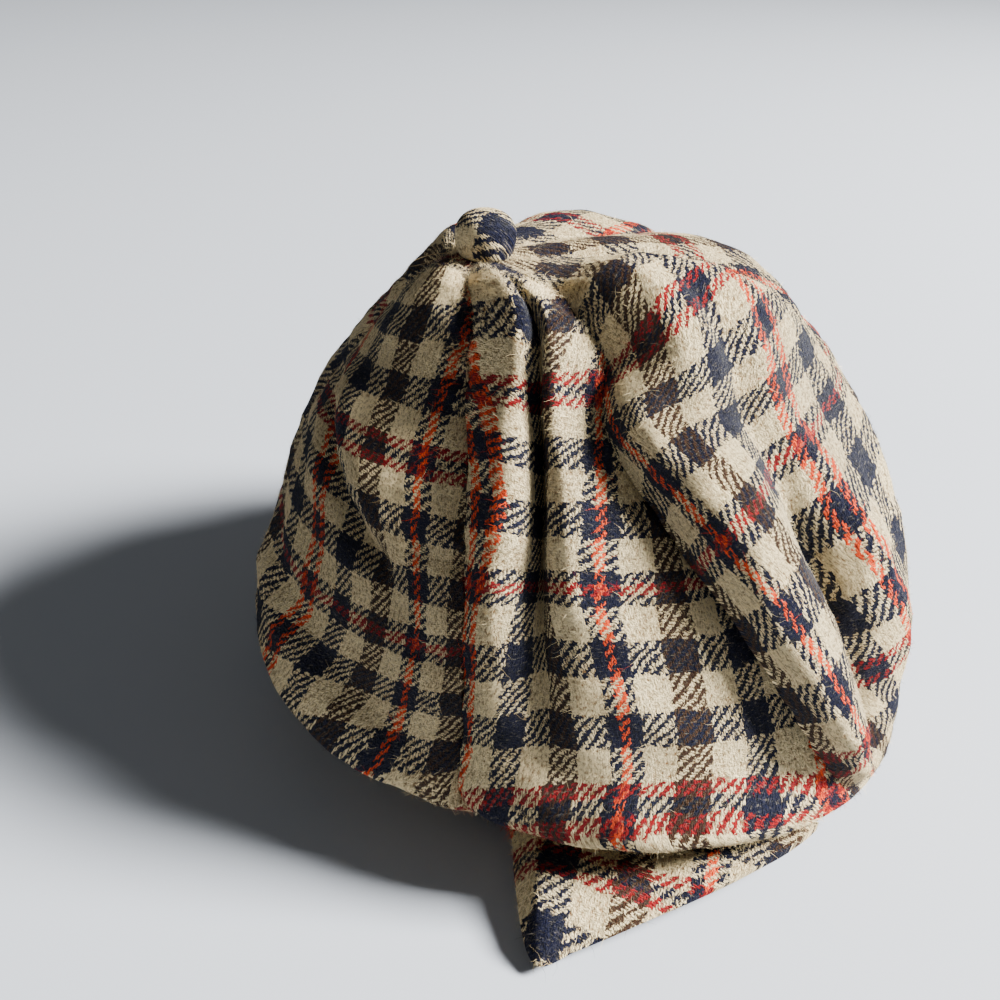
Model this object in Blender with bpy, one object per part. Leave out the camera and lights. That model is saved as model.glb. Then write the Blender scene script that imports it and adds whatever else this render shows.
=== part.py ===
import bpy
import numpy as np

# Driving sizes, in metres unless a name says otherwise
cloth_wall = 0.0020          # wool cloth of the crown, with its backing
piece_gap = 0.0003           # clearance between pieces that touch
seam_gap = 0.0010            # clearance between gores, whose seams run aslant

band_half_length = 0.094     # outside of the oval head band, front to back
band_half_width = 0.084      # outside of the oval head band, side to side
band_wall = 0.0024
band_height = 0.026
sewn_front = 0.016           # height of the crown's sewn edge above the peak
sewn_side = 0.004            # height of that edge at the sides and behind

crown_height = 0.168         # from the table to the top under the button
crown_radius = 0.114         # fullest ring of the crown
crown_slump = 0.060          # how far the soft crown leans over its band
front_lift = 0.014           # the front edge rides up over the peak
lift_toward = 0.0            # degrees from the front to the highest part of that edge
top_opening = 0.005          # ring where the gores meet under the button
foot_roll = 0.014            # how full the crown's foot rolls under
gore_count = 6
gore_puff = 0.003            # each gore swells between its seams
seam_sink = 0.0035           # each seam is drawn in
seam_width = 0.007
fold_depth = 0.010           # depth that the fold table's shares are taken of

button_radius = 0.0090
button_height = 0.0085
button_edge = 0.0030         # height of the button's fullest ring

peak_depth = 0.0465          # how far the crease stands out of the band
peak_wall = 0.0036
peak_span = 62.0             # degrees from the front to the peak's open end
peak_tuck = 46.0             # degrees from the front to the tucked half's end
peak_front = 5.0             # degrees that the crease leaves the band off the front
peak_arch = 0.0080           # how high the crease arches over its chord
peak_root = 0.0115           # height of the peak's upper face where it meets the band

# Faceting
gore_rows = 18
edge_rows = 6
wide_columns = 20
plain_columns = 11
band_sides = 72
button_sides = 20

# Sections of the crown from the button down to its foot, where it turns under.
# Columns: share of the way down, share of crown_height, share of crown_radius, slump to
# the side and to the back as shares of crown_slump, and share of front_lift.
crown_sections = (
    (0.00, 1.00, 0.04, 1.00, -0.50, 0.00),
    (0.10, 1.00, 0.20, 0.85, -0.35, 0.00),
    (0.25, 0.97, 0.47, 0.58, -0.10, 0.00),
    (0.40, 0.83, 0.68, 0.54, 0.00, 0.00),
    (0.60, 0.60, 0.92, 0.52, 0.00, 0.00),
    (0.80, 0.32, 1.03, 0.47, -0.05, 0.00),
    (0.90, 0.17, 1.04, 0.42, -0.12, 0.30),
    (1.00, 0.09, 0.95, 0.20, -0.12, 0.80),
)

# Turn of the two front seams away from their even places, in degrees, on the way down.
# Columns: share of the way down, the front seam, the seam on its right.
seam_turns = (
    (0.00, -16, -18),
    (0.10, -18, -20),
    (0.20, -20, -30),
    (0.30, -12, -29),
    (0.50, 3, -13),
    (0.70, 9, 1),
    (0.85, 10, 11),
    (1.00, 11, 17),
)

# Folds that run down the crown. Columns: name, angle in degrees where it starts and
# ends, the shares of the way down where it starts and ends, half width as a share of
# crown_radius, and height as a share of fold_depth, negative for a valley.
crown_folds = (
    ("front valley", 18, 21, 0.11, 0.77, 0.055, -0.45),
    ("front ridge", 10, 13, 0.11, 0.75, 0.060, 0.30),
    ("side roll upper", 52, 57, 0.15, 0.56, 0.130, 0.85),
    ("side roll lower", 57, 80, 0.52, 0.95, 0.110, 0.75),
    ("side valley upper", 78, 66, 0.19, 0.56, 0.060, -0.45),
    ("side valley lower", 66, 88, 0.52, 0.97, 0.060, -0.45),
    ("crease lip", 46, 68, 0.52, 0.82, 0.055, 0.35),
    ("left dent", 300, 345, 0.49, 0.67, 0.080, -0.50),
)

# The peak's rim on both sides of the crease. Columns: share of the way round, 1 at the
# open half's end and -1 at the tucked half's, reach beyond the band as a share of
# peak_depth, angle as a share of peak_span, height of the upper face as a share of
# peak_root, arch as a share of peak_arch, and how far the upper face stands off the
# band at its root as a share of peak_wall.
peak_rim = (
    (-1.00, 0.13, -0.74, 0.60, 0.00, 1.05),
    (-0.60, 0.13, -0.40, 0.60, 0.00, 1.05),
    (-0.40, 0.18, -0.08, 0.55, 0.00, 1.05),
    (-0.26, 0.44, 0.10, 0.45, 0.10, 0.90),
    (-0.12, 0.80, 0.19, 0.38, 0.55, 0.50),
    (0.00, 1.00, 0.24, 0.35, 1.00, 0.00),
    (0.12, 0.87, 0.32, 0.42, 0.85, 0.00),
    (0.28, 0.70, 0.43, 0.62, 0.60, 0.00),
    (0.46, 0.55, 0.57, 0.90, 0.38, 0.00),
    (0.64, 0.42, 0.74, 1.08, 0.22, 0.00),
    (0.82, 0.33, 0.88, 1.10, 0.10, 0.10),
    (1.00, 0.09, 1.00, 0.95, 0.00, 0.30),
)


def read_table(table, share):
    """Values of a table's columns at the given shares, on a smooth curve through its rows."""
    rows = np.array([row for row in table], dtype=float)
    at, values = rows[:, 0], rows[:, 1:]
    share = np.asarray(share, dtype=float)
    low = np.clip(np.searchsorted(at, share, side="right") - 1, 0, len(at) - 2)
    step = at[low + 1] - at[low]
    u = ((share - at[low]) / step)[..., None]
    slope = np.gradient(values, at, axis=0)
    start, end = values[low], values[low + 1]
    rise, fall = slope[low] * step[..., None], slope[low + 1] * step[..., None]
    curve = (2 * u**3 - 3 * u**2 + 1) * start + (u**3 - 2 * u**2 + u) * rise
    curve += (3 * u**2 - 2 * u**3) * end + (u**3 - u**2) * fall
    return np.moveaxis(curve, -1, 0)


def band_point(turn, beyond, height):
    """A point beside the oval band: an angle round it, metres beyond its outside, and a height."""
    x = (band_half_width + beyond) * np.sin(turn)
    y = -(band_half_length + beyond) * np.cos(turn)
    return np.stack([x, y, np.broadcast_to(height, np.shape(x))], axis=-1)


def seam_angle(number, down):
    """Angle of a seam round the crown, in radians, from the front toward the right."""
    turns = read_table(seam_turns, np.minimum(down, 1))
    even = number % gore_count
    angle = np.full(np.shape(down), number * 360.0 / gore_count)
    if even < len(turns):
        angle = angle + turns[even]
    return np.radians(angle)


def crown_ring(angle, down):
    """The crown's smooth form from the button, 0, down to its foot, 1."""
    height, radius, side, back, lift = read_table(crown_sections, down)
    ring = np.maximum(radius * crown_radius, top_opening)
    x = ring * np.sin(angle) - crown_slump * side
    y = crown_slump * back - ring * np.cos(angle)
    z = height * crown_height + lift * front_lift * np.cos(angle - np.radians(lift_toward))
    return np.stack([x, y, z], axis=-1)


def crown_base(angle, down):
    """The crown's smooth form, before seams and folds.

    Down runs on from 1 at the foot to 2 at the edge sewn to the band. That stretch
    rolls under on a curve that leaves the foot the way the crown comes down to it and
    ends against the band's side.
    """
    foot = crown_ring(angle, np.minimum(down, 1))
    above = crown_ring(angle, np.full(np.shape(down), 0.97))
    leave = crown_ring(angle, np.ones(np.shape(down))) - above
    leave *= foot_roll / np.linalg.norm(leave, axis=-1, keepdims=True)
    turn = np.arctan2(foot[..., 0] / band_half_width, -foot[..., 1] / band_half_length)
    over_peak = smooth_step((peak_span + 30 - np.degrees(np.abs(turn))) / 40)
    sewn = band_point(turn, piece_gap, sewn_side + (sewn_front - sewn_side) * over_peak)
    arrive = band_point(turn, 0, 0) - band_point(turn, foot_roll, 0)
    u = np.clip(down - 1, 0, 1)[..., None]
    under = (2 * u**3 - 3 * u**2 + 1) * foot + (u**3 - 2 * u**2 + u) * leave
    under += (3 * u**2 - 2 * u**3) * sewn + (u**3 - u**2) * arrive
    return np.where(u > 0, under, foot)


def crown_normal(angle, down):
    """Outward direction of the smooth form."""
    turn, slide = 0.01, 0.02
    across = crown_base(angle + turn, down) - crown_base(angle - turn, down)
    low, high = np.clip(down - slide, 0, 2), np.clip(down + slide, 0, 2)
    normal = np.cross(crown_base(angle, high) - crown_base(angle, low), across)
    return normal / np.linalg.norm(normal, axis=-1, keepdims=True)


def smooth_step(value):
    value = np.clip(value, 0, 1)
    return value * value * (3 - 2 * value)


def angle_between(angle, centre):
    """Signed difference of two angles in radians, the short way round."""
    return (angle - centre + np.pi) % (2 * np.pi) - np.pi


def crown_relief(angle, down):
    """Height of seams, swell and folds above the smooth form."""
    radius = np.maximum(read_table(crown_sections, np.minimum(down, 1))[1], 0.1) * crown_radius
    fade = smooth_step(down / 0.25) * smooth_step((1.04 - down) / 0.16)
    nearest = np.full(np.shape(angle), np.pi)
    for number in range(gore_count):
        off = np.abs(angle_between(angle, seam_angle(number, down)))
        nearest = np.minimum(nearest, off)
    distance = nearest * radius
    swell = gore_puff * smooth_step(nearest * gore_count / np.pi)
    relief = fade * (swell - seam_sink * np.exp(-(distance / seam_width) ** 2))
    for name, first, last, start, end, width, height in crown_folds:
        along = (down - start) / (end - start)
        path = np.radians(first + (last - first) * np.clip(along, 0, 1))
        off = angle_between(angle, path) * radius / (width * crown_radius)
        ends = smooth_step((along + 0.12) / 0.3) * smooth_step((1.12 - along) / 0.3)
        relief = relief + fold_depth * height * ends * np.exp(-off ** 2)
    return relief


def crown_surface(angle, down, depth):
    """A point of the crown's cloth, depth metres inside its outer face."""
    inward = crown_relief(angle, down) - depth
    point = crown_base(angle, down) + crown_normal(angle, down) * inward[..., None]
    point[..., 2] = np.maximum(point[..., 2], depth)
    return point


def add_object(name, points, faces, finish):
    mesh = bpy.data.meshes.new(name)
    mesh.from_pydata(points.tolist(), [], faces)
    mesh.materials.append(finish)
    mesh.shade_smooth()
    mesh.set_sharp_from_angle(angle=np.radians(50))
    piece = bpy.data.objects.new(name, mesh)
    bpy.context.scene.collection.objects.link(piece)
    return piece


def wall_faces(rows, columns):
    """Faces of a closed wall whose outer grid comes first and its inner grid after it.

    The quads on both side edges are split along the same diagonal, so that two walls
    that meet along a seam keep their gap.
    """
    back = rows * columns
    faces = []
    for row in range(rows - 1):
        for column in range(columns - 1):
            a = row * columns + column
            b, c, d = a + 1, a + columns + 1, a + columns
            faces.append((a, d, c, b))
            faces.append((back + a, back + b, back + c, back + d))
    for column in range(columns - 1):
        top, low = column, (rows - 1) * columns + column
        faces.append((top, top + 1, back + top + 1, back + top))
        faces.append((low + 1, low, back + low, back + low + 1))
    for row in range(rows - 1):
        left, right = row * columns, row * columns + columns - 1
        faces.append((left + columns, left, back + left, back + left + columns))
        faces.append((right + columns, back + right + columns, back + right, right))
    return faces


def finish_material(name, colour, roughness):
    material = bpy.data.materials.new(name)
    material.use_nodes = True
    shader = material.node_tree.nodes["Principled BSDF"]
    shader.inputs["Base Color"].default_value = (*colour, 1)
    shader.inputs["Roughness"].default_value = roughness
    shader.inputs["Metallic"].default_value = 0.0
    return material


def make_gore(number, name, columns, finish):
    """One of the crown's gores, from the button down and under to the band."""
    down = np.concatenate([np.linspace(0, 1, gore_rows), np.linspace(1.36, 2, edge_rows)])
    across = np.linspace(0, 1, columns + 1)
    down, across = np.meshgrid(down, across, indexing="ij")
    radius = read_table(crown_sections, np.minimum(down, 1))[1] * crown_radius
    margin = seam_gap / 2 / np.maximum(radius, top_opening)
    left = seam_angle(number, down) + margin
    right = seam_angle(number + 1, down) - margin
    angle = left + (right - left) * across
    outer = crown_surface(angle, down, 0.0)
    inner = crown_surface(angle, down, cloth_wall)
    points = np.concatenate([outer.reshape(-1, 3), inner.reshape(-1, 3)])
    return add_object(name, points, wall_faces(*down.shape), finish)


def make_band(finish):
    """The oval head band, a closed ring with softened edges."""
    soft = band_wall / 4
    profile = (
        (-soft, 0.0),
        (0.0, soft),
        (0.0, band_height - soft),
        (-soft, band_height),
        (soft - band_wall, band_height),
        (-band_wall, band_height - soft),
        (-band_wall, soft),
        (soft - band_wall, 0.0),
    )
    turn = np.arange(band_sides) * 2 * np.pi / band_sides
    points = np.concatenate([band_point(turn, beyond, height) for beyond, height in profile])
    faces = []
    for ring in range(len(profile)):
        above = (ring + 1) % len(profile) * band_sides
        for side in range(band_sides):
            beside = (side + 1) % band_sides
            faces.append((ring * band_sides + side, ring * band_sides + beside, above + beside, above + side))
    return add_object("head_band", points, faces, finish)


def make_button(finish):
    """A flattened dome on the crown's top, with a small flat crown of its own."""
    angles = np.radians([0, 25, 50, 75])
    rise = button_height - button_edge
    profile = [(button_radius * 0.55, 0.0), (button_radius * 0.86, button_edge * 0.3)]
    profile += [(button_radius * np.cos(a), button_edge + rise * np.sin(a)) for a in angles]
    seat = crown_height + piece_gap
    points = []
    for radius, height in profile:
        for side in range(button_sides):
            turn = side * 2 * np.pi / button_sides
            points.append((radius * np.sin(turn), -radius * np.cos(turn), height))
    points = np.array(points) + np.array([-crown_slump, -0.52 * crown_slump, seat])
    faces = []
    for ring in range(len(profile) - 1):
        for side in range(button_sides):
            a, b = ring * button_sides + side, ring * button_sides + (side + 1) % button_sides
            faces.append((a, b, b + button_sides, a + button_sides))
    faces.append(tuple(reversed(range(button_sides))))
    last = (len(profile) - 1) * button_sides
    faces.append(tuple(range(last, last + button_sides)))
    return add_object("button", points, faces, finish)


def peak_surface(way, out):
    """Upper face of the peak: way runs round the rim from -1 to 1, out from the band to the rim."""
    reach, swing, level, arch, stand = read_table(peak_rim, way)
    to_end = np.where(way > 0, peak_span - peak_front, peak_tuck + peak_front)
    root = band_point(np.radians(peak_front + way * to_end), piece_gap + stand * peak_wall, peak_root)
    rim = band_point(np.radians(swing * peak_span), reach * peak_depth, level * peak_root)
    point = root + (rim - root) * out[..., None]
    point[..., 2] += peak_arch * arch * 4 * out * (1 - out)
    return point


def make_peak(finish):
    """The soft peak, creased down its middle, with one half tucked under."""
    way = np.concatenate([np.linspace(-1, -0.3, 6), np.linspace(-0.3, 0.3, 13)[1:], np.linspace(0.3, 1, 8)[1:]])
    out, way = np.meshgrid(np.linspace(0, 1, 8), way, indexing="ij")
    step = 0.01
    ahead = peak_surface(np.clip(way + step, -1, 1), out) - peak_surface(np.clip(way - step, -1, 1), out)
    along = peak_surface(way, np.clip(out + step, 0, 1)) - peak_surface(way, np.clip(out - step, 0, 1))
    normal = np.cross(along, ahead)
    normal /= np.linalg.norm(normal, axis=-1, keepdims=True)
    upper = peak_surface(way, out)
    lower = upper - normal * peak_wall
    lower[..., 2] = np.maximum(lower[..., 2], 0)
    points = np.concatenate([upper.reshape(-1, 3), lower.reshape(-1, 3)])
    return add_object("peak", points, wall_faces(*out.shape), finish)


def stand_on_origin(pieces):
    """Moves every mesh so that the whole cap stands on the origin, centred over it."""
    corners = np.concatenate([np.array([vertex.co[:] for vertex in piece.data.vertices]) for piece in pieces])
    low, high = corners.min(axis=0), corners.max(axis=0)
    shift = np.array([(low[0] + high[0]) / 2, (low[1] + high[1]) / 2, low[2]])
    for piece in pieces:
        for vertex in piece.data.vertices:
            vertex.co = vertex.co - type(vertex.co)(shift)


def main():
    for old in list(bpy.data.objects):
        bpy.data.objects.remove(old)
    gores = (
        ("gore_front", wide_columns),
        ("gore_right_front", wide_columns),
        ("gore_right_rear", plain_columns),
        ("gore_rear", plain_columns),
        ("gore_left_rear", plain_columns),
        ("gore_left_front", plain_columns + 3),
    )
    pieces = []
    for number, (name, columns) in enumerate(gores):
        shade = 0.20 + 0.012 * number
        finish = finish_material(name + "_cloth", (shade, shade * 0.88, shade * 0.80), 0.92)
        pieces.append(make_gore(number, name, columns, finish))
    pieces.append(make_band(finish_material("band_cloth", (0.05, 0.06, 0.10), 0.90)))
    pieces.append(make_button(finish_material("button_cloth", (0.08, 0.09, 0.15), 0.92)))
    pieces.append(make_peak(finish_material("peak_cloth", (0.30, 0.26, 0.23), 0.92)))
    stand_on_origin(pieces)


main()
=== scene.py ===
import bpy
import numpy as np
from mathutils import Matrix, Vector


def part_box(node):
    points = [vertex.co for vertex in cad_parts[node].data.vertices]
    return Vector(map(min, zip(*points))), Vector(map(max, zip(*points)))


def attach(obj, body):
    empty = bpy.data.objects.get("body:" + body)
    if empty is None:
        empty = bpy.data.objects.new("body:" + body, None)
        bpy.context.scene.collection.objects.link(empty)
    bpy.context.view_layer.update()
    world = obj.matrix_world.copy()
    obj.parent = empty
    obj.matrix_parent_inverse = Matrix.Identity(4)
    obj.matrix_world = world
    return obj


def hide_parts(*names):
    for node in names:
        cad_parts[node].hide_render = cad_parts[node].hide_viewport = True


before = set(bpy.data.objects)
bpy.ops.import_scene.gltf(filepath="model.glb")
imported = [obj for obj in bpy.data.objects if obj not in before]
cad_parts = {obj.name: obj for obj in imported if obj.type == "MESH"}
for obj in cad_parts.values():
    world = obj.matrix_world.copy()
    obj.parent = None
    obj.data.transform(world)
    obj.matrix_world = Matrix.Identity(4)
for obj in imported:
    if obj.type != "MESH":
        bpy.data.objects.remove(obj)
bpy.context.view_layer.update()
bandLow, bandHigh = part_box("head_band")
bandMiddle = np.array([(bandLow[0] + bandHigh[0]) / 2, (bandLow[1] + bandHigh[1]) / 2, 0.0])
bandHalf = np.array([(bandHigh[0] - bandLow[0]) / 2, (bandHigh[1] - bandLow[1]) / 2])

# lengths are in metres and angles in degrees, measured from the front toward the right
crown = {
    "height": 0.168,
    "radius": 0.114,
    "slump": 0.060,
    "frontLift": 0.014,
    "liftToward": 0.0,
    "footRoll": 0.014,
    "topOpening": 0.005,
    "sewnFront": 0.016,
    "sewnSide": 0.004,
    "bandGap": 0.0003,
    "wall": 0.0020,
    "gorePuff": 0.0030,
    "seamSink": 0.0040,
    "seamWidth": 0.0045,
    "foldDepth": 0.010,
    "seamMargin": 0.0002,
    "waviness": 0.0005,
    "peakSpan": 62.0,
    # share of the way down, height, radius, slump to the side and back, lift in front
    "sections": (
        (0.00, 1.00, 0.04, 1.00, -0.50, 0.00),
        (0.10, 1.00, 0.20, 0.85, -0.35, 0.00),
        (0.25, 0.97, 0.47, 0.58, -0.10, 0.00),
        (0.40, 0.83, 0.68, 0.54, 0.00, 0.00),
        (0.60, 0.60, 0.92, 0.52, 0.00, 0.00),
        (0.80, 0.32, 1.03, 0.47, -0.05, 0.00),
        (0.90, 0.17, 1.04, 0.42, -0.12, 0.30),
        (1.00, 0.09, 0.95, 0.20, -0.12, 0.80),
    ),
    # share of the way down, turn of the front seam and of the seam on its right
    "seamTurns": (
        (0.00, -16, -18),
        (0.10, -18, -20),
        (0.20, -20, -30),
        (0.30, -12, -29),
        (0.50, 3, -13),
        (0.70, 9, 1),
        (0.85, 10, 11),
        (1.00, 11, 17),
    ),
    # angle at the start and end, share of the way down at both, half width, height
    "folds": (
        (10, 13, 0.11, 0.75, 0.060, 0.30),
        (52, 57, 0.15, 0.56, 0.130, 0.85),
        (57, 80, 0.52, 0.95, 0.110, 0.75),
        (66, 88, 0.52, 0.97, 0.060, -0.30),
    ),
    # length of the cloth from the button to the foot, for distances across a crease
    "slope": 0.21,
    # creases and ridges that bend: each point's angle, share of the way down, height and half
    # width in millimetres
    "creases": {
        "front tuck": ((8, 0.12, 0, 3), (9, 0.22, -6, 3), (11, 0.35, -12, 3.2), (14.5, 0.45, -13, 3.4),
                       (17.5, 0.55, -12, 3.4), (20, 0.65, -8, 3.6), (22, 0.74, -4, 5), (23, 0.82, 0, 6)),
        "front tuck left": ((2, 0.12, 0, 7), (4, 0.3, 2, 7), (9, 0.48, 2.5, 7), (15, 0.68, 2, 8),
                            (17, 0.8, 0, 8)),
        "front tuck right": ((15, 0.15, 0, 6), (18, 0.35, 1.5, 6), (23, 0.52, 2, 6), (27, 0.68, 1, 7),
                             (28, 0.8, 0, 7)),
        "right valley": ((70, 0.16, 0, 6), (62, 0.27, -4, 6), (59, 0.4, -6, 6), (64, 0.5, -7, 5.5),
                         (69, 0.59, -8, 5), (74, 0.7, -8, 5), (80, 0.83, -6, 6), (86, 0.94, 0, 7)),
        "right ridge": ((80, 0.16, 0, 10), (71, 0.3, 3, 10), (69, 0.42, 4, 10), (75, 0.52, 5, 10),
                        (81, 0.63, 6, 11), (88, 0.76, 5, 12), (94, 0.9, 0, 13)),
        "front ridge": ((50, 0.54, 0, 5), (55, 0.62, 3, 5), (60, 0.7, 4, 5), (66, 0.78, 3, 5),
                        (70, 0.84, 0, 5)),
        "shaded pocket": ((30, 0.36, 0, 7), (38, 0.44, -4, 8), (45, 0.51, -5, 8), (53, 0.58, -3, 7),
                          (58, 0.63, 0, 6)),
        "right shoulder": ((56, 0.1, 0, 16), (68, 0.14, 5, 18), (82, 0.18, 7, 20), (96, 0.22, 5, 20),
                           (108, 0.28, 0, 18)),
        "left crease": ((-54, 0.47, 0, 5), (-40, 0.51, -5, 5), (-29, 0.55, -8, 5), (-19, 0.59, -8, 5),
                        (-9, 0.62, -6, 5), (2, 0.69, 0, 6)),
        "left overhang": ((-50, 0.43, 0, 8), (-36, 0.47, 3, 8), (-23, 0.52, 4, 8), (-9, 0.57, 3, 8),
                          (0, 0.62, 0, 8)),
        "left recess": ((-66, 0.6, 0, 14), (-42, 0.6, -4, 14), (-24, 0.65, -4, 12), (-10, 0.7, -2, 10),
                        (0, 0.75, 0, 9)),
        "left lower valley": ((-62, 0.7, 0, 7), (-44, 0.71, -3, 7), (-24, 0.75, -4, 7), (-6, 0.8, -3, 7),
                              (6, 0.86, 0, 7)),
        "left foot roll": ((-58, 0.78, 0, 9), (-38, 0.78, 3, 10), (-16, 0.82, 3, 9), (4, 0.86, 0, 8)),
    },
}


# a soft ramp from 0 to 1: the square of the value times three less twice the value
def smoothStep(value):
    value = np.clip(value, 0, 1)
    return value * value * (3 - 2 * value)


# a smooth curve through a table's rows: cubic pieces that share their slopes
def readTable(table, share):
    rows = np.array(table, dtype=float)
    at, values = rows[:, 0], rows[:, 1:]
    share = np.asarray(share, dtype=float)
    low = np.clip(np.searchsorted(at, share, side="right") - 1, 0, len(at) - 2)
    step = at[low + 1] - at[low]
    u = ((share - at[low]) / step)[..., None]
    slope = np.gradient(values, at, axis=0)
    curve = (2 * u**3 - 3 * u**2 + 1) * values[low] + (u**3 - 2 * u**2 + u) * slope[low] * step[..., None]
    curve += (3 * u**2 - 2 * u**3) * values[low + 1] + (u**3 - u**2) * slope[low + 1] * step[..., None]
    return np.moveaxis(curve, -1, 0)


# a point beside the oval band: half axes plus the distance beyond, times sine and cosine
def bandPoint(turn, beyond, height):
    x = (bandHalf[0] + beyond) * np.sin(turn)
    y = -(bandHalf[1] + beyond) * np.cos(turn)
    return np.stack([x, y, np.broadcast_to(height, np.shape(x))], axis=-1) + bandMiddle


# every seam starts at an even sixth of the turn, and the two front ones wander from it
def seamAngle(number, down):
    turns = readTable(crown["seamTurns"], np.minimum(down, 1))
    angle = np.full(np.shape(down), number * 60.0)
    if number % 6 < 2:
        angle = angle + turns[number % 6]
    return np.radians(angle)


# rings whose radius, height and middle come from the section table
def crownRing(angle, down):
    height, radius, side, back, lift = readTable(crown["sections"], down)
    ring = np.maximum(radius * crown["radius"], crown["topOpening"])
    x = ring * np.sin(angle) - crown["slump"] * side
    y = crown["slump"] * back - ring * np.cos(angle)
    z = height * crown["height"] + lift * crown["frontLift"] * np.cos(angle - np.radians(crown["liftToward"]))
    return np.stack([x, y, z], axis=-1) + bandMiddle


# the ring's radius from the section table, held at the foot's below it
def crownRadius(down):
    return readTable(crown["sections"], np.minimum(down, 1))[1] * crown["radius"]


# past the foot, where down runs from 1 to 2, a cubic curve rolls under to the band
def crownBase(angle, down):
    foot = crownRing(angle, np.minimum(down, 1))
    leave = crownRing(angle, np.ones(np.shape(down))) - crownRing(angle, np.full(np.shape(down), 0.97))
    leave *= crown["footRoll"] / np.linalg.norm(leave, axis=-1, keepdims=True)
    away = foot - bandMiddle
    turn = np.arctan2(away[..., 0] / bandHalf[0], -away[..., 1] / bandHalf[1])
    overPeak = smoothStep((crown["peakSpan"] + 30 - np.degrees(np.abs(turn))) / 40)
    height = crown["sewnSide"] + (crown["sewnFront"] - crown["sewnSide"]) * overPeak
    sewn = bandPoint(turn, crown["bandGap"], height)
    arrive = bandPoint(turn, 0, 0) - bandPoint(turn, crown["footRoll"], 0)
    u = np.clip(down - 1, 0, 1)[..., None]
    under = (2 * u**3 - 3 * u**2 + 1) * foot + (u**3 - 2 * u**2 + u) * leave
    under += (3 * u**2 - 2 * u**3) * sewn + (u**3 - u**2) * arrive
    return np.where(u > 0, under, foot)


# outward direction: the cross product of the slopes down and around
def crownNormal(angle, down):
    across = crownBase(angle + 0.01, down) - crownBase(angle - 0.01, down)
    low, high = np.clip(down - 0.02, 0, 2), np.clip(down + 0.02, 0, 2)
    normal = np.cross(crownBase(angle, high) - crownBase(angle, low), across)
    return normal / np.linalg.norm(normal, axis=-1, keepdims=True)


# the turn from the centre to the angle, wrapped to half a circle either way
def angleBetween(angle, centre):
    return (angle - centre + np.pi) % (2 * np.pi) - np.pi


# seams sink along bell curves of the distance, gores swell between them, and each fold
# is a bell curve across its path
def crownRelief(angle, down):
    radius = np.maximum(crownRadius(down), 0.1 * crown["radius"])
    fade = smoothStep(down / 0.25) * smoothStep((1.04 - down) / 0.16)
    nearest = np.full(np.shape(angle), np.pi)
    for number in range(6):
        nearest = np.minimum(nearest, np.abs(angleBetween(angle, seamAngle(number, down))))
    distance = nearest * radius
    swell = crown["gorePuff"] * smoothStep(nearest * 6 / np.pi)
    relief = fade * (swell - crown["seamSink"] * np.exp(-(distance / crown["seamWidth"]) ** 1.4))
    for first, last, start, end, width, height in crown["folds"]:
        along = (down - start) / (end - start)
        path = np.radians(first + (last - first) * np.clip(along, 0, 1))
        off = angleBetween(angle, path) * radius / (width * crown["radius"])
        ends = smoothStep((along + 0.12) / 0.3) * smoothStep((1.12 - along) / 0.3)
        relief = relief + crown["foldDepth"] * height * ends * np.exp(-off ** 2)
    for points in crown["creases"].values():
        relief = relief + creaseHeight(points, angle, down, radius)
    return relief


# a bell curve of the distance to a bent line, measured on the cloth laid flat; height and
# half width run evenly from point to point
def creaseHeight(points, angle, down, radius):
    nearest, height = np.full(np.shape(angle), 1.0), np.zeros(np.shape(angle))
    for start, end in zip(points[:-1], points[1:]):
        east = angleBetween(angle, np.radians(start[0])) * radius
        south = (down - start[1]) * crown["slope"]
        stepEast = np.radians(end[0] - start[0]) * radius
        stepSouth = (end[1] - start[1]) * crown["slope"]
        along = np.clip((east * stepEast + south * stepSouth) / (stepEast**2 + stepSouth**2), 0, 1)
        gap = np.hypot(east - along * stepEast, south - along * stepSouth)
        high = start[2] + (end[2] - start[2]) * along
        wide = start[3] + (end[3] - start[3]) * along
        height = np.where(gap < nearest, high * np.exp(-(gap * 1000 / wide) ** 1.6), height)
        nearest = np.minimum(nearest, gap)
    return height / 1000


# the smooth form moved along its normal by the relief less the depth under the cloth's face
def crownSurface(angle, down, depth):
    inward = crownRelief(angle, down) - depth
    point = crownBase(angle, down) + crownNormal(angle, down) * inward[..., None]
    point[..., 2] = np.maximum(point[..., 2], depth)
    return point


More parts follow.
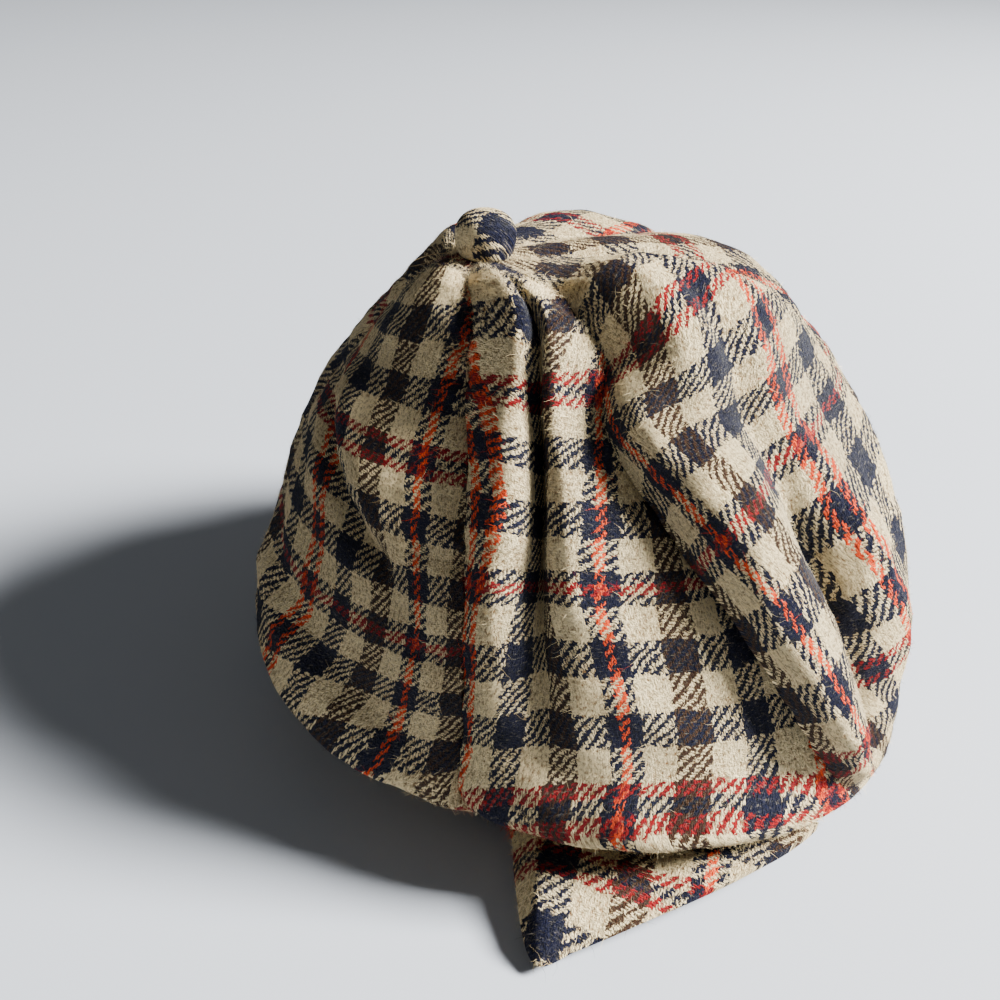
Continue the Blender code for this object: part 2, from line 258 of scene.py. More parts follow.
# each gore: its grid, and how the check lies on it. A front gore has a table of stripes read
# off the cloth: share of the way down, warp stripe at the left seam, the middle and the right
# seam, and weft stripe at the same three. A rear gore's warp runs down its own middle
yarnPitch = 0.0115 / 12
gores = {
    "gore_front": {
        "number": 0, "rows": 215, "columns": 220, "hairs": 9000,
        "stripes": (
            (0.00, 7.4, 7.9, 8.5, -3.8, -3.8, -3.7),
            (0.10, 7.2, 8.1, 9.4, -3.1, -3.1, -2.8),
            (0.30, 7.0, 8.9, 12.7, -1.1, -0.8, -0.1),
            (0.50, 5.8, 10.2, 15.6, 4.0, 4.2, 4.6),
            (0.70, 6.2, 12.4, 17.8, 8.5, 9.4, 9.0),
            (0.85, 6.6, 13.8, 18.4, 11.7, 12.6, 11.5),
            (1.00, 8.0, 14.5, 19.1, 12.8, 13.6, 12.5),
        ),
        # the tuck: how far its bank leans over it at most and where, and the step's width
        "lean": 0.004, "leanBeside": 0.003, "leanWidth": 0.0055, "mostHidden": 1.8, "step": 0.010,
        # stripes that the tuck hides: share of the way down, angle, number of stripes
        "hidden": ((0.12, 8, 0), (0.24, 9.3, 0.8), (0.36, 11.3, 1.6), (0.45, 14.5, 1.8), (0.54, 17.2, 1.7),
                   (0.64, 19.7, 0.9), (0.73, 22, 0.3), (0.80, 23, 0)),
    },
    "gore_right_front": {
        "number": 1, "rows": 215, "columns": 220, "hairs": 9000,
        "stripes": (
            (0.00, 2.5, 2.7, 3.0, -5.2, -5.0, -4.8),
            (0.10, 1.5, 2.9, 4.5, -3.8, -3.0, -2.8),
            (0.30, 0.8, 6.1, 9.0, -0.1, 2.7, 3.0),
            (0.50, -1.2, 6.8, 11.0, 4.9, 7.9, 8.2),
            (0.70, -1.6, 6.0, 11.0, 9.7, 11.0, 11.5),
            (0.85, -1.7, 5.0, 10.0, 12.3, 14.3, 15.0),
            (1.00, -1.6, 3.8, 8.5, 14.5, 17.0, 18.0),
        ),
    },
    "gore_right_rear": {"number": 2, "rows": 120, "columns": 80, "hairs": 3500, "warp": 30, "weft": -60},
    "gore_rear": {"number": 3, "rows": 120, "columns": 80, "hairs": 3500, "warp": 102, "weft": -40},
    "gore_left_rear": {"number": 4, "rows": 120, "columns": 80, "hairs": 3500, "warp": 6, "weft": -66},
    "gore_left_front": {
        "number": 5, "rows": 200, "columns": 160, "hairs": 9000,
        "stripes": (
            (0.00, 11.0, 11.8, 12.4, -6.4, -6.3, -6.0),
            (0.10, 10.0, 11.2, 12.3, -6.0, -5.6, -5.2),
            (0.30, 7.0, 9.8, 12.7, -4.8, -4.2, -3.1),
            (0.50, 3.0, 8.4, 14.2, -0.3, 0.3, 1.1),
            (0.70, 1.0, 6.0, 14.8, 6.4, 6.3, 6.7),
            (0.85, 1.0, 7.6, 15.1, 7.5, 9.4, 11.1),
            (1.00, 4.0, 11.0, 16.0, 9.0, 10.6, 12.7),
        ),
    },
}


# a parabola across each row through its three stripes, with the tuck's hidden stripes
# stepped over, or lengths measured on the cloth
def yarnCounts(points, angle, down, gore):
    reach = np.zeros(down.shape)
    reach[:, 1:] = np.cumsum(np.linalg.norm(np.diff(points, axis=1), axis=-1), axis=1)
    middle = points[:, points.shape[1] // 2]
    fall = np.concatenate([[0], np.cumsum(np.linalg.norm(np.diff(middle, axis=0), axis=-1))])
    fall = np.broadcast_to(fall[:, None], down.shape)
    share = reach / np.maximum(reach[:, -1:], 1e-9)
    if "stripes" not in gore:
        warp = gore["warp"] + (reach - reach[:, -1:] / 2) / yarnPitch
        return np.stack([warp, gore["weft"] + fall / yarnPitch], axis=-1)
    read = readTable(gore["stripes"], np.minimum(down, 1)) * 12
    left, middle, right = (1 - share) * (1 - 2 * share), 4 * share * (1 - share), share * (2 * share - 1)
    warp = read[0] * left + read[1] * middle + read[2] * right
    weft = read[3] * left + read[4] * middle + read[5] * right
    if "hidden" in gore:
        level = np.clip(down, gore["hidden"][0][0], gore["hidden"][-1][0])
        tuck, hidden = readTable(gore["hidden"], level)
        radius = crownRadius(down)
        past = smoothStep(0.5 + angleBetween(angle, np.radians(tuck)) * radius / gore["step"])
        warp = warp + 12 * np.maximum(hidden, 0) * (past - share)
    under = np.where(down > 1, fall, fall[down <= 1].max()) - fall[down <= 1].max()
    return np.stack([warp, weft + under / yarnPitch], axis=-1)


# a grid of angle and down between two seams, with the columns closer near the seams
def goreGrid(gore):
    rows, columns = gore["rows"], gore["columns"]
    share = np.linspace(0, 1, columns)
    across = share - np.sin(2 * np.pi * share) * 0.55 / (2 * np.pi)
    down = np.concatenate([np.linspace(0, 1, rows - rows // 8), np.linspace(1, 2, rows // 8 + 1)[1:]])
    down, sideways = np.meshgrid(down, across, indexing="ij")
    margin = crown["seamMargin"] / np.maximum(crownRadius(down), crown["topOpening"])
    left = seamAngle(gore["number"], down) + margin
    right = seamAngle(gore["number"] + 1, down) - margin
    return left + (right - left) * sideways, down


# the lip of the right gore: lengths, and the shares of the way down where it starts and ends
lip = {
    "reach": 0.011, "rise": 0.010, "round": 0.0022, "width": 0.016, "sink": 0.008,
    "from": 0.28, "to": 0.92, "fade": 0.14,
}


# the right gore's edge rolls over the front one: it slides toward the front and rises by a
# bell curve of the distance from the seam, and the front gore sinks beside it
def lipShift(number, angle, down, normal):
    seam = seamAngle(1, down)
    radius = crownRadius(down)
    distance = np.abs(angleBetween(angle, seam)) * radius
    along = smoothStep((down - lip["from"]) / lip["fade"]) * smoothStep((lip["to"] - down) / lip["fade"])
    near = np.exp(-(distance / lip["width"]) ** 2) * along
    if number == 0:
        return -lip["sink"] * near[..., None] * normal
    if number != 1:
        return np.zeros(normal.shape)
    tangent = np.stack([np.cos(seam), np.sin(seam), np.zeros(np.shape(seam))], axis=-1)
    rounded = 1 - np.exp(-distance / lip["round"])
    return near[..., None] * (lip["rise"] * rounded[..., None] * normal - lip["reach"] * tangent)


# the bank on the left of the tuck leans over it along the surface, by a bell curve of the
# distance, as far as the tuck hides stripes
def tuckLean(gore, angle, down):
    if "hidden" not in gore:
        return 0.0
    level = np.clip(down, gore["hidden"][0][0], gore["hidden"][-1][0])
    tuck, hidden = readTable(gore["hidden"], level)
    radius = crownRadius(down)
    distance = angleBetween(angle, np.radians(tuck)) * radius
    beside = (distance + gore["leanBeside"]) / gore["leanWidth"]
    lean = gore["lean"] * np.maximum(hidden, 0) / gore["mostHidden"] * np.exp(-beside ** 2)
    return lean[..., None] * np.stack([np.cos(angle), np.sin(angle), np.zeros(angle.shape)], axis=-1)


# small waves: a sum of sines along seeded directions, each a few centimetres long
def cloudyWaves(points, seed, length, count):
    rng = np.random.default_rng(seed)
    directions = rng.normal(size=(count, 3))
    directions /= np.linalg.norm(directions, axis=1, keepdims=True)
    lengths = length * rng.uniform(0.6, 1.6, count)
    phases = rng.uniform(0, 2 * np.pi, count)
    turns = points @ directions.T * (2 * np.pi / lengths) + phases
    return np.sin(turns).sum(axis=-1) / np.sqrt(count)


# the crown's surface with the lip, small waves and the puckers that a seam draws in
def goreSurface(gore, angle, down, depth):
    normal = crownNormal(angle, down)
    base = crownSurface(angle, down, depth)
    number = gore["number"]
    radius = crownRadius(down)
    toLeft, toRight = angle - seamAngle(number, down), seamAngle(number + 1, down) - angle
    toSeam = np.minimum(np.abs(toLeft), np.abs(toRight))
    fade = smoothStep(down / 0.2) * smoothStep((1.15 - down) / 0.2)
    pucker = np.sin(down * 95 + 2.2 * np.sin(down * 23 + number)) * np.exp(-toSeam * radius / 0.006)
    waves = cloudyWaves(base, 7 + number, 0.030, 9) + 0.6 * cloudyWaves(base, 71 + number, 0.011, 9)
    small = fade * (crown["waviness"] * waves + 0.0006 * pucker)
    point = base + normal * small[..., None] + lipShift(number, angle, down, normal)
    point = point + tuckLean(gore, angle, down)
    point[..., 2] = np.maximum(point[..., 2], depth + 0.0002)
    return point


# the peak: share of the way round its rim, reach, turn, height, arch and standoff as shares
peak = {
    "depth": 0.0465, "wall": 0.0036, "span": 62.0, "tuck": 46.0, "front": 5.0,
    "arch": 0.0080, "root": 0.0115, "pace": 1.8,
    "rim": (
        (-1.00, 0.13, -0.74, 0.60, 0.00, 1.05),
        (-0.60, 0.12, -0.32, 0.60, 0.00, 1.05),
        (-0.40, 0.14, 0.02, 0.55, 0.00, 1.05),
        (-0.26, 0.42, 0.10, 0.45, 0.10, 0.90),
        (-0.12, 0.80, 0.18, 0.38, 0.55, 0.50),
        (0.00, 1.05, 0.24, 0.35, 1.00, 0.00),
        (0.12, 0.90, 0.31, 0.42, 0.85, 0.00),
        (0.28, 0.70, 0.43, 0.62, 0.60, 0.00),
        (0.46, 0.55, 0.57, 0.90, 0.38, 0.00),
        (0.64, 0.42, 0.74, 1.08, 0.22, 0.00),
        (0.82, 0.33, 0.90, 1.10, 0.10, 0.10),
        (1.00, 0.24, 1.06, 0.95, 0.00, 0.30),
    ),
    "rows": 90, "columns": 260, "hairs": 4000, "turn": -12.0, "warp": 112.5, "weft": -110.5,
}


# straight from the band to the rim, plus a parabola that arches the crease; the tucked half's
# root moves along the band by a power of the way round
def peakSurface(way, out):
    reach, swing, level, arch, stand = readTable(peak["rim"], way)
    toEnd = np.where(way > 0, peak["span"] - peak["front"], peak["tuck"] + peak["front"])
    beyond = crown["bandGap"] + stand * peak["wall"]
    pace = np.where(way > 0, way, -np.abs(way) ** peak["pace"])
    root = bandPoint(np.radians(peak["front"] + pace * toEnd), beyond, peak["root"])
    rim = bandPoint(np.radians(swing * peak["span"]), reach * peak["depth"], level * peak["root"])
    point = root + (rim - root) * out[..., None]
    point[..., 2] += peak["arch"] * arch * 4 * out * (1 - out)
    return point


# the check lies flat on the peak: distances in plan along and across its turned warp
def peakCounts(points):
    turn = np.radians(30 + peak["turn"])
    x, y = points[..., 0] - bandMiddle[0], points[..., 1] - bandMiddle[1]
    across = x * np.cos(turn) + y * np.sin(turn)
    along = x * np.sin(turn) - y * np.cos(turn)
    return np.stack([peak["warp"] + across / yarnPitch, peak["weft"] + along / yarnPitch], axis=-1)


# faces of a closed wall whose outer grid comes first and its inner grid after it
def wallFaces(rows, columns):
    grid = np.arange(rows * columns).reshape(rows, columns)
    back = rows * columns
    a, b = grid[:-1, :-1].ravel(), grid[:-1, 1:].ravel()
    c, d = grid[1:, 1:].ravel(), grid[1:, :-1].ravel()
    outer = np.stack([a, d, c, b], axis=1)
    inner = np.stack([a, b, c, d], axis=1) + back
    edges = []
    for line, flip in ((grid[0], False), (grid[-1], True), (grid[:, 0], True), (grid[:, -1], False)):
        first, second = (line[1:], line[:-1]) if flip else (line[:-1], line[1:])
        edges.append(np.stack([first, second, second + back, first + back], axis=1))
    return np.concatenate([outer] + edges + [inner]), len(inner)


# faces of a single sheet of points, row by row
def sheetFaces(rows, columns):
    grid = np.arange(rows * columns).reshape(rows, columns)
    return np.stack([grid[:-1, :-1], grid[:-1, 1:], grid[1:, 1:], grid[1:, :-1]], axis=-1).reshape(-1, 4)


# makes the mesh, with the yarn counts as its UV map and the lining on its last faces
def makePiece(name, points, faces, counts, materials, lined=0):
    mesh = bpy.data.meshes.new(name)
    mesh.from_pydata(points.reshape(-1, 3).tolist(), [], faces.tolist())
    for material in materials:
        mesh.materials.append(material)
    corners = np.empty(len(mesh.loops), dtype=np.int32)
    mesh.loops.foreach_get("vertex_index", corners)
    yarns = mesh.uv_layers.new(name="yarns")
    yarns.data.foreach_set("uv", counts.reshape(-1, 2)[corners].astype(np.float32).ravel())
    slots = np.zeros(len(mesh.polygons), dtype=np.int32)
    if lined:
        slots[-lined:] = 1
    mesh.polygons.foreach_set("material_index", slots)
    mesh.shade_smooth()
    mesh.set_sharp_from_angle(angle=np.radians(60))
    piece = bpy.data.objects.new(name, mesh)
    bpy.context.scene.collection.objects.link(piece)
    return piece


# a wall between two grids of points
def makeWall(name, outer, inner, counts, materials, lined=True):
    faces, behind = wallFaces(*outer.shape[:2])
    points = np.concatenate([outer.reshape(-1, 3), inner.reshape(-1, 3)])
    both = np.concatenate([counts.reshape(-1, 2), counts.reshape(-1, 2)])
    return makePiece(name, points, faces, both, materials, behind if lined else 0)


# sRGB steps of 0 to 255 made linear: the standard power curve
def linear(red, green, blue):
    steps = np.array([red, green, blue]) / 255
    return (*np.where(steps > 0.04045, ((steps + 0.055) / 1.055) ** 2.4, steps / 12.92).tolist(), 1.0)


# a shader socket that can be added, multiplied and so on
class Wire:
    def __init__(self, tree, socket):
        self.tree, self.socket = tree, socket

    def maths(self, operation, *others, flipped=False):
        node = self.tree.nodes.new("ShaderNodeMath")
        node.operation = operation
        parts = [self, *others]
        if flipped:
            parts.reverse()
        for slot, part in zip(node.inputs, parts):
            if isinstance(part, Wire):
                self.tree.links.new(part.socket, slot)
            else:
                slot.default_value = part
        return Wire(self.tree, node.outputs[0])

    def __add__(self, other):
        return self.maths("ADD", other)

    def __radd__(self, other):
        return self.maths("ADD", other, flipped=True)

    def __sub__(self, other):
        return self.maths("SUBTRACT", other)

    def __rsub__(self, other):
        return self.maths("SUBTRACT", other, flipped=True)

    def __mul__(self, other):
        return self.maths("MULTIPLY", other)

    def __rmul__(self, other):
        return self.maths("MULTIPLY", other, flipped=True)

    def __truediv__(self, other):
        return self.maths("DIVIDE", other)

    def __rtruediv__(self, other):
        return self.maths("DIVIDE", other, flipped=True)


# one material: makes nodes, joins them and holds the constants of its shader
class Finish:
    def __init__(self, name, **constants):
        self.material = bpy.data.materials.new(name)
        self.material.use_nodes = True
        self.tree = self.material.node_tree
        self.shader = self.tree.nodes["Principled BSDF"]
        for socket, value in constants.items():
            self.shader.inputs[socket.replace("_", " ")].default_value = value

    def node(self, kind, settings=None, inputs=None):
        made = self.tree.nodes.new(kind)
        for name, value in (settings or {}).items():
            if name == "stops":
                self.setStops(made.color_ramp, value)
            else:
                setattr(made, name, value)
        for name, value in (inputs or {}).items():
            if isinstance(value, Wire):
                self.tree.links.new(value.socket, made.inputs[name])
            else:
                made.inputs[name].default_value = value
        return made

    def setStops(self, ramp, stops):
        ramp.interpolation = "CONSTANT"
        while len(ramp.elements) < len(stops):
            ramp.elements.new(1.0)
        for element, (at, colour) in zip(ramp.elements, stops):
            element.position = at
            element.color = colour

    def wire(self, kind, settings=None, inputs=None, output=0):
        return Wire(self.tree, self.node(kind, settings, inputs).outputs[output])

    def mix(self, factor, first, second, blend="MIX"):
        settings = {"data_type": "RGBA", "blend_type": blend}
        return self.wire("ShaderNodeMix", settings, {0: factor, 6: first, 7: second}, 2)

    def feed(self, socket, wire):
        self.tree.links.new(wire.socket, self.shader.inputs[socket])


# yarn colours, and a warm brown painted shade for the hollows between floats and tufts
wool = {
    "cream": linear(255, 232, 178), "navy": linear(10, 14, 42), "orange": linear(250, 78, 18),
    "red": linear(158, 14, 20), "brown": linear(70, 45, 24), "gapShade": linear(128, 92, 50),
    "fuzz": linear(190, 178, 150),
}
# each list: the yarn where a colour starts, out of 144, and that colour
warpOrder = (
    (0, "navy"), (4.5, "orange"), (7.5, "navy"), (12, "cream"), (24, "brown"), (36, "cream"),
    (48, "navy"), (60, "cream"), (72, "orange"), (76, "navy"), (80, "orange"), (84, "cream"),
    (96, "navy"), (108, "cream"), (120, "brown"), (132, "cream"),
)
weftOrder = (
    (0, "red"), (4, "navy"), (8, "red"), (12, "cream"), (24, "navy"), (36, "cream"), (48, "navy"),
    (60, "cream"), (72, "navy"), (76, "red"), (80, "navy"), (84, "cream"), (96, "navy"),
    (108, "cream"), (120, "navy"), (132, "cream"),
)


# a 2/2 twill: the warp is on top where the yarn numbers add up to 0 or 1 in fours. Each
# yarn is a half sine high, its edges are jagged by noise and its tone varies with its number
def tweedCloth(name):
    cloth = Finish(name, Roughness=0.95, Specular_IOR_Level=0.05, Sheen_Weight=0.06, Sheen_Roughness=0.5)
    counts = cloth.wire("ShaderNodeUVMap", {"uv_map": "yarns"})

    # noise over the yarn counts, stretched along either set
    def noise(scale, detail, stretch=(1, 1, 1)):
        spread = cloth.wire("ShaderNodeVectorMath", {"operation": "MULTIPLY"}, {0: counts, 1: stretch})
        inputs = {"Vector": spread, "Scale": scale, "Detail": detail, "Roughness": 0.6}
        return cloth.wire("ShaderNodeTexNoise", {"noise_dimensions": "2D"}, inputs)

    split = cloth.node("ShaderNodeSeparateXYZ", None, {0: counts})
    across, along = Wire(cloth.tree, split.outputs[0]), Wire(cloth.tree, split.outputs[1])
    ragged, drift = noise(0.75, 4) - 0.5, noise(0.11, 2) - 0.5
    across = across + ragged * 2.4 + drift * 3.0
    ragged, drift = noise(0.70, 4, (1.05, 0.95, 1)) - 0.5, noise(0.13, 2, (0.9, 1, 1)) - 0.5
    along = along + ragged * 2.4 + drift * 3.0
    warpNumber, weftNumber = across.maths("FLOOR"), along.maths("FLOOR")

    # the yarn's place in the repeat of 144 picks its colour from the list
    def colours(number, order):
        place = ((number + 0.5) / 144).maths("FRACT")
        stops = [(start / 144, wool[colour]) for start, colour in order]
        return cloth.wire("ShaderNodeValToRGB", {"stops": stops}, {0: place})

    onTop = ((warpNumber + weftNumber) / 4).maths("FRACT").maths("LESS_THAN", 0.49)
    warpColour, weftColour = colours(warpNumber, warpOrder), colours(weftNumber, weftOrder)
    colour = cloth.mix(onTop, weftColour, warpColour)
    bow = onTop * (across.maths("FRACT") * np.pi).maths("SINE")
    bow = bow + (1 - onTop) * (along.maths("FRACT") * np.pi).maths("SINE")
    edge = (1.5 - 2.3 * bow).maths("MAXIMUM", 0.0).maths("MINIMUM", 1.0)
    colour = cloth.mix(edge, colour, cloth.mix(onTop, warpColour, weftColour), "DARKEN")
    tone = cloth.wire("ShaderNodeTexWhiteNoise", {"noise_dimensions": "1D"},
                      {"W": onTop * (warpNumber + 0.3) + (1 - onTop) * (weftNumber + 0.7)})
    fibres = noise(1.5, 3, (1.0, 0.6, 1))
    blotch = noise(0.05, 2)
    tufts = noise(0.62, 4, (1.0, 0.8, 1))
    # painted shade: the colour darkens toward the warm brown where a float curves down into the gaps between
    # yarns and in the hollows of the fibre and tuft noise; the yarn number and the blotch add random tone
    toneAndShade = 0.58 + 0.26 * bow + 0.14 * tone + 1.9 * (fibres - 0.5)
    toneAndShade = toneAndShade + 2.2 * (tufts - 0.5) + 0.6 * (blotch - 0.5)
    toneAndShade = toneAndShade.maths("MAXIMUM", 0.0).maths("MINIMUM", 1.0)
    colour = cloth.mix(1.0, colour, cloth.mix(toneAndShade, wool["gapShade"], (1.0, 1.0, 1.0, 1.0)), "MULTIPLY")
    hair = ((noise(1.1, 4, (0.4, 1.3, 1)) - 0.60) * 2.6).maths("MAXIMUM", 0.0).maths("MINIMUM", 0.24)
    colour = cloth.mix(hair, colour, wool["fuzz"])
    cloth.feed("Base Color", colour)
    height = bow * 0.7 + fibres * 1.2 + tufts * 1.8
    bump = cloth.wire("ShaderNodeBump", None, {"Strength": 1.0, "Distance": 0.0021, "Height": height})
    cloth.feed("Normal", bump)
    return cloth.material


# plain dark satin with a faint unevenness
def satinLining():
    satin = Finish("lining_satin", Roughness=0.42, Specular_IOR_Level=0.35)
    place = satin.wire("ShaderNodeTexCoord", None, None, 3)
    cloud = satin.wire("ShaderNodeTexNoise", None, {"Vector": place, "Scale": 60.0, "Detail": 3.0})
    satin.feed("Base Color", satin.mix(cloud, linear(26, 28, 40), linear(44, 46, 60)))
    return satin.material


# a ribbed ribbon: fine ribs run round the band, a sine of the height
def ribbonMaterial():
    ribbon = Finish("band_ribbon", Specular_IOR_Level=0.3)
    place = ribbon.wire("ShaderNodeTexCoord", None, None, 3)
    split = ribbon.node("ShaderNodeSeparateXYZ", None, {0: place})
    ribs = (Wire(ribbon.tree, split.outputs[2]) * (2 * np.pi / 0.0006)).maths("SINE")
    ribbon.feed("Base Color", ribbon.mix(ribs * 0.5 + 0.5, linear(14, 16, 28), linear(34, 38, 56)))
    ribbon.feed("Roughness", 0.55 + ribs * 0.08)
    bump = ribbon.wire("ShaderNodeBump", None, {"Strength": 0.5, "Distance": 0.0002, "Height": ribs})
    ribbon.feed("Normal", bump)
    return ribbon.material


tweed = tweedCloth("tweed_cloth")
lining = satinLining()
hairs = {"seed": 41, "long": 0.0044, "thick": 0.0001, "rings": 3}
hairPoints, hairCounts = [], []


# hairs stand off random spots of a surface: short ribbons that bend as they rise
def growHairs(points, counts, count, seed):
    rng = np.random.default_rng(seed)
    rows, columns = points.shape[:2]
    row, column = rng.integers(0, rows - 1, count), rng.integers(0, columns - 1, count)
    mixRow, mixColumn = rng.random((2, count, 1))

    # a value between four corners of the grid, by evenly mixing along rows and columns
    def spot(grid):
        upper = grid[row, column] * (1 - mixColumn) + grid[row, column + 1] * mixColumn
        lower = grid[row + 1, column] * (1 - mixColumn) + grid[row + 1, column + 1] * mixColumn
        return upper * (1 - mixRow) + lower * mixRow

    down = points[row + 1, column] - points[row, column]
    side = points[row, column + 1] - points[row, column]
    normal = np.cross(down, side)
    normal /= np.maximum(np.linalg.norm(normal, axis=1, keepdims=True), 1e-12)
    root, rootCounts = spot(points), spot(counts)
    lay = rng.normal(size=(count, 3))
    lay -= (lay * normal).sum(axis=1, keepdims=True) * normal
    lay /= np.linalg.norm(lay, axis=1, keepdims=True)
    curl = np.cross(normal, lay) * rng.normal(0, 0.5, (count, 1))
    long = hairs["long"] * rng.uniform(0.25, 1.0, (count, 1)) ** 1.5
    lift = rng.uniform(0.15, 0.9, (count, 1))
    across = np.cross(lay, normal) * hairs["thick"] / 2
    rings = []
    for part in np.linspace(0, 1, hairs["rings"]):
        middle = root + long * (lay * part + normal * lift * part * (1.3 - part) + curl * part * part)
        width = across * (1 - 0.8 * part)
        rings.append(np.stack([middle - width, middle + width], axis=1))
    corners = 2 * hairs["rings"]
    hairPoints.append(np.stack(rings, axis=1).reshape(count, corners, 3))
    hairCounts.append(np.repeat(np.floor(rootCounts)[:, None, :] + 0.5, corners, axis=1))


for name, gore in gores.items():
    angle, down = goreGrid(gore)
    outer = goreSurface(gore, angle, down, 0.0)
    inner = goreSurface(gore, angle, down, crown["wall"])
    counts = yarnCounts(outer, angle, down, gore)
    piece = makeWall(name + "_panel", outer, inner, counts, (tweed, lining))
    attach(piece, "root")
    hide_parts(name)
    above = (down[:, 0] < 1.2).sum()
    growHairs(outer[:above], counts[:above], gore["hairs"], hairs["seed"] + gore["number"])
    print("panel", name, len(piece.data.polygons))

way = np.linspace(-1, 1, peak["columns"])
way = np.sign(way) * np.abs(way) ** 1.3
out, way = np.meshgrid(np.linspace(0, 1, peak["rows"]), way, indexing="ij")
ahead = peakSurface(np.clip(way + 0.01, -1, 1), out) - peakSurface(np.clip(way - 0.01, -1, 1), out)
along = peakSurface(way, np.clip(out + 0.01, 0, 1)) - peakSurface(way, np.clip(out - 0.01, 0, 1))
normal = np.cross(along, ahead)
normal /= np.linalg.norm(normal, axis=-1, keepdims=True)
upper = peakSurface(way, out)
upper = upper + normal * (0.0004 * cloudyWaves(upper, 5, 0.02, 8) * smoothStep(out / 0.2))[..., None]
lower = upper - normal * peak["wall"]
lower[..., 2] = np.maximum(lower[..., 2], 0.0001)
peakPiece = makeWall("peak_cloth_cover", upper, lower, peakCounts(upper), (tweed, tweed))
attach(peakPiece, "root")
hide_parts("peak")
growHairs(upper, peakCounts(upper), peak["hairs"], 90)
print("peak", len(peakPiece.data.polygons))

# a flattened dome: a quarter ellipse above its fullest ring, which lies at the share "waist"
# of the rings, and another below it that draws in to the foot
button = {
    "radius": 0.0099, "height": 0.0148, "edge": 0.0072, "foot": 0.74, "waist": 0.3,
    "rings": 60, "sides": 128, "hairs": 1200, "warp": 46.0, "weft": 62.0, "back": -0.52,
}
turn, rise = np.meshgrid(np.linspace(0, 2 * np.pi, button["sides"] + 1), np.linspace(0, 1, button["rings"]))
swing = np.clip((rise - button["waist"]) / (1 - button["waist"]), 0, 1) * np.pi / 2
drawnIn = np.sqrt(np.clip(1 - (1 - rise / button["waist"]) ** 2, 0, 1))
below, above = button["foot"] + (1 - button["foot"]) * drawnIn, np.cos(swing) ** 0.8
ringRadius = button["radius"] * np.where(rise < button["waist"], below, above)
low = button["edge"] * rise / button["waist"]
high = button["edge"] + (button["height"] - button["edge"]) * np.sin(swing)
ringHeight = np.where(rise < button["waist"], low, high)
buttonFoot = [-crown["slump"], button["back"] * crown["slump"], crown["height"] + crown["bandGap"]]
buttonMiddle = bandMiddle + np.array(buttonFoot)
dome = np.stack([ringRadius * np.sin(turn), -ringRadius * np.cos(turn), ringHeight], axis=-1) + buttonMiddle
domeWarp = button["warp"] + (dome[..., 0] - buttonMiddle[0]) / yarnPitch
domeWeft = button["weft"] - (dome[..., 1] - buttonMiddle[1]) / yarnPitch - ringHeight / yarnPitch
domeCounts = np.stack([domeWarp, domeWeft], axis=-1)
domeFaces = sheetFaces(*dome.shape[:2])
buttonPiece = makePiece("button_cover", dome, domeFaces, domeCounts, (tweed,))
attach(buttonPiece, "root")
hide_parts("button")
growHairs(dome, domeCounts, button["hairs"], 95)
print("button", len(buttonPiece.data.polygons))

# an oval ribbon ring: a squarish section, powers of a cosine and a sine, carried round the band
band = {"wall": 0.0024, "height": 0.026, "sides": 240, "section": 33, "power": 0.35}
section = np.linspace(0, 2 * np.pi, band["section"])
over, upward = np.cos(section), np.sin(section)
sideways = -band["wall"] / 2 + (band["wall"] / 2) * np.sign(over) * np.abs(over) ** band["power"]
upright = band["height"] / 2 * (1 + np.sign(upward) * np.abs(upward) ** band["power"])
around, place = np.meshgrid(np.linspace(0, 2 * np.pi, band["sides"] + 1), np.arange(band["section"]))
ring = bandPoint(around, sideways[place], upright[place])
ringFaces = sheetFaces(*ring.shape[:2])
bandPiece = makePiece("head_band_ribbon", ring, ringFaces, ring[..., :2], (ribbonMaterial(),))
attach(bandPiece, "root")
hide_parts("head_band")
print("band", len(bandPiece.data.polygons))

# stray fibres: where each starts beside the button's middle, and its run and sag, in
# millimetres; each is a parabola in four short ribbons, of the colour of one yarn
strays = {
    "half": 0.00006, "yarn": 18.5,
    "fibres": (
        ((-9, -6, 2), (-12, -7, -7), 1.5),
        ((-7, -8, 1), (-9, -9, -2), -1.0),
        ((30, -24, -1), (9, -5, -8), 3.0),
    ),
}
for start, run, sag in strays["fibres"]:
    part = np.linspace(0, 1, 9)[:, None]
    course = np.array(start) + np.array(run) * part - [0, 0, sag] * (4 * part * (1 - part))
    course = buttonMiddle + course / 1000
    ribbon = np.stack([course - [0, 0, strays["half"]], course + [0, 0, strays["half"]]], axis=1)
    for ringStart in (0, 2, 4, 6):
        hairPoints.append(ribbon[ringStart:ringStart + 3].reshape(1, 6, 3))
        hairCounts.append(np.full((1, 6, 2), strays["yarn"]))

hairAll, countsAll = np.concatenate(hairPoints), np.concatenate(hairCounts)
hairAll[..., 2] = np.maximum(hairAll[..., 2], 0.0003)
# each hair is two quads over the three pairs of points of its rings
firstPoint = np.arange(len(hairAll))[:, None] * 2 * hairs["rings"]
quads = np.array([[0, 1, 3, 2], [2, 3, 5, 4]])
hairFaces = (firstPoint[:, :, None] + quads[None]).reshape(-1, 4)
nap = makePiece("wool_nap", hairAll, hairFaces, countsAll, (tweed,))
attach(nap, "root")
print("nap", len(hairFaces) * 2, "triangles")

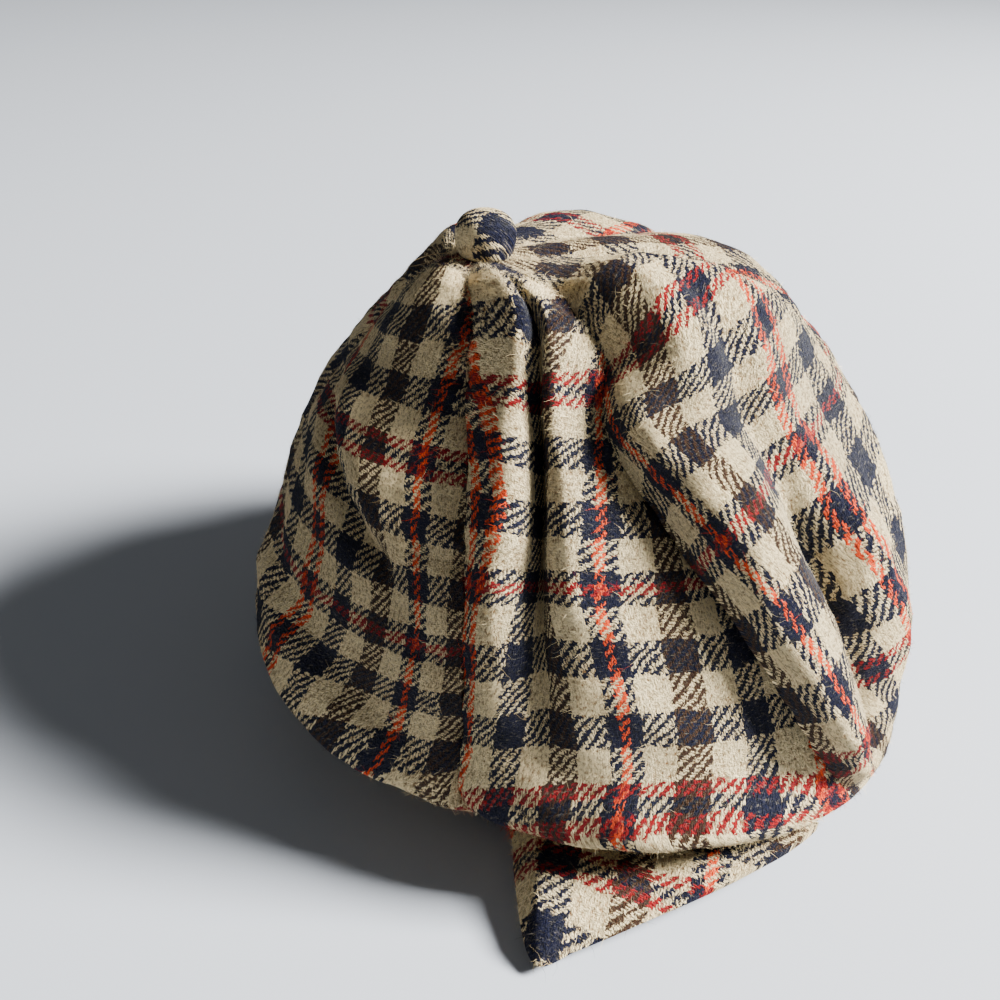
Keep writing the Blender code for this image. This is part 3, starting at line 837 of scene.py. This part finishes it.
# the camera: placed from the band, looking down by a pitch and rolled a little
camera = {"from": (0.1218, -0.3269, 0.285), "azimuth": 30.0, "pitch": 30.95, "roll": 3.4, "lens": 40.0}
azimuth, pitch, roll = (np.radians(camera[key]) for key in ("azimuth", "pitch", "roll"))
forward = np.array([-np.sin(azimuth), np.cos(azimuth), 0.0])
right = np.array([np.cos(azimuth), np.sin(azimuth), 0.0])
up = forward * np.sin(pitch) + np.array([0, 0, 1]) * np.cos(pitch)
look = forward * np.cos(pitch) - np.array([0, 0, 1]) * np.sin(pitch)
sideAxis = right * np.cos(roll) + up * np.sin(roll)
upAxis = up * np.cos(roll) - right * np.sin(roll)
lens = bpy.data.cameras.new("camera")
lens.lens, lens.sensor_width, lens.clip_start = camera["lens"], 36.0, 0.01
eye = bpy.data.objects.new("camera", lens)
bpy.context.scene.collection.objects.link(eye)
turned = np.eye(4)
turned[:3, :3] = np.stack([sideAxis, upAxis, -look], axis=1)
turned[:3, 3] = bandMiddle + camera["from"]
eye.matrix_world = Matrix(turned.tolist())
bpy.context.scene.camera = eye
print("camera", camera["lens"])

# soft lamps: place, aim at the crown, size across and power
lamps = {
    "key": ((2.30, 1.30, 2.00), 0.95, 860.0),
    "fill": ((-0.6, -1.3, 1.1), 1.4, 2.0),
}
aim = bandMiddle + np.array([0, 0, 0.07])
for name, (place, size, power) in lamps.items():
    lamp = bpy.data.lights.new(name, "AREA")
    lamp.size, lamp.energy = size, power
    holder = bpy.data.objects.new(name, lamp)
    bpy.context.scene.collection.objects.link(holder)
    holder.location = place
    away = np.array(place) - aim
    flat = np.hypot(away[0], away[1])
    holder.rotation_euler = (np.arctan2(flat, away[2]), 0, np.arctan2(away[0], -away[1]))
world = bpy.data.worlds.new("studio")
world.use_nodes = True
world.node_tree.nodes["Background"].inputs["Color"].default_value = linear(214, 218, 224)
world.node_tree.nodes["Background"].inputs["Strength"].default_value = 0.17
bpy.context.scene.world = world
print("lamps", len(lamps))

floorFinish = Finish("floor_pale", Roughness=0.7, Base_Color=linear(168, 172, 178))
floorPoints = np.array([(-4, -4, 0), (4, -4, 0), (4, 4, 0), (-4, 4, 0)], dtype=float)
floor = makePiece("floor", floorPoints, np.array([[0, 1, 2, 3]]), floorPoints[:, :2], (floorFinish.material,))
print("floor", len(floor.data.polygons))
